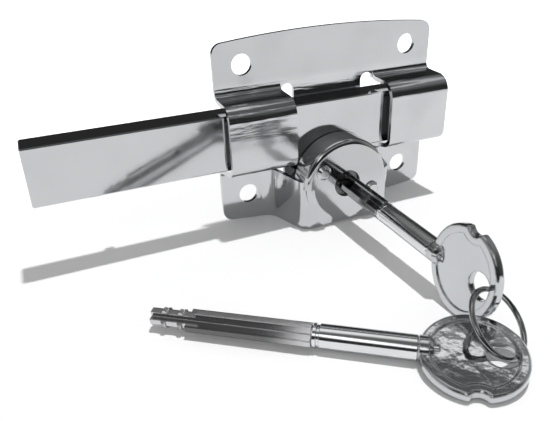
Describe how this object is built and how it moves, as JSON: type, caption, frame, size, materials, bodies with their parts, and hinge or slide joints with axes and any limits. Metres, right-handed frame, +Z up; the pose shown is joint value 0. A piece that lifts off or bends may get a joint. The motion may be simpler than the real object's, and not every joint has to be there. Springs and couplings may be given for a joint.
{
  "type": "keyed door bolt",
  "caption": "Keyed surface bolt: a folded steel plate guides a flat bolt bar that a cross-shaped key drives through a geared lock plug; spare key on the ring.",
  "frame": {"origin": "middle of the four fixing holes on the plate's back face", "axes": "+X along the bolt away from its thrown end, +Y out of the plate's back into the door, +Z up"},
  "size_m": [0.1391, 0.1104, 0.0638],
  "materials": {
    "plated_sheet": "bright nickel plated pressed sheet",
    "plated_bar": "bright nickel plated flat bar",
    "turned_steel": "turned, zinc plated",
    "zinc_barrel": "die-cast, tumbled",
    "rivet_steel": "plated, domed",
    "plug_brass": "turned",
    "pin_brass": "turned",
    "spring_steel": "spring wire",
    "key_blade_steel": "plated, die cast",
    "key_shank_steel": "bright plated tube",
    "key_bow_plate": "bright plated, fine scratches",
    "ring_wire": "plated wire"
  },
  "bodies": {
    "lock": {"base_plate": "plated_sheet", "lock_barrel": "zinc_barrel", "barrel_sleeve": "turned_steel", "barrel_rivets": "rivet_steel", "driver_pins": "pin_brass", "pin_springs": "spring_steel"},
    "bolt": {"bolt_bar": "plated_bar", "stop_pins": "turned_steel"},
    "plug": {"plug": "plug_brass", "key_pins": "pin_brass", "drive_pinion": "turned_steel", "pinion_clip": "spring_steel"},
    "key": {"key_blade": "key_blade_steel", "key_shank": "key_shank_steel", "key_bow": "key_bow_plate"},
    "ring": {"key_ring": "ring_wire"},
    "spare": {"spare_blade": "key_blade_steel", "spare_shank": "key_shank_steel", "spare_bow": "key_bow_plate"}
  },
  "joints": [
    {"name": "bolt_slide", "type": "slide", "parent": "lock", "child": "bolt", "axis": [1, 0, 0], "range_m": [0, 0.06]},
    {"name": "plug_turn", "type": "hinge", "parent": "lock", "child": "plug", "pos_m": [-0.0022, 0, -0.0166], "axis": [0, 1, 0], "range_deg": [0, 360]},
    {"name": "key_draw", "type": "slide", "parent": "plug", "child": "key", "axis": [0, -1, 0], "range_m": [0, 0.045]},
    {"name": "ring_swing", "type": "hinge", "parent": "key", "child": "ring", "pos_m": [-0.0022, -0.086, -0.0166], "axis": [1, 0, 0], "range_deg": [-6, 0]},
    {"name": "spare_swing", "type": "hinge", "parent": "ring", "child": "spare", "pos_m": [-0.00855, -0.1016, -0.02432], "axis": [0, 0, 1], "range_deg": [-3, 3]}
  ],
  "couplings": [
    {"joint": "plug_turn", "follows": "bolt_slide", "rad_per_m": 104.72}
  ]
}
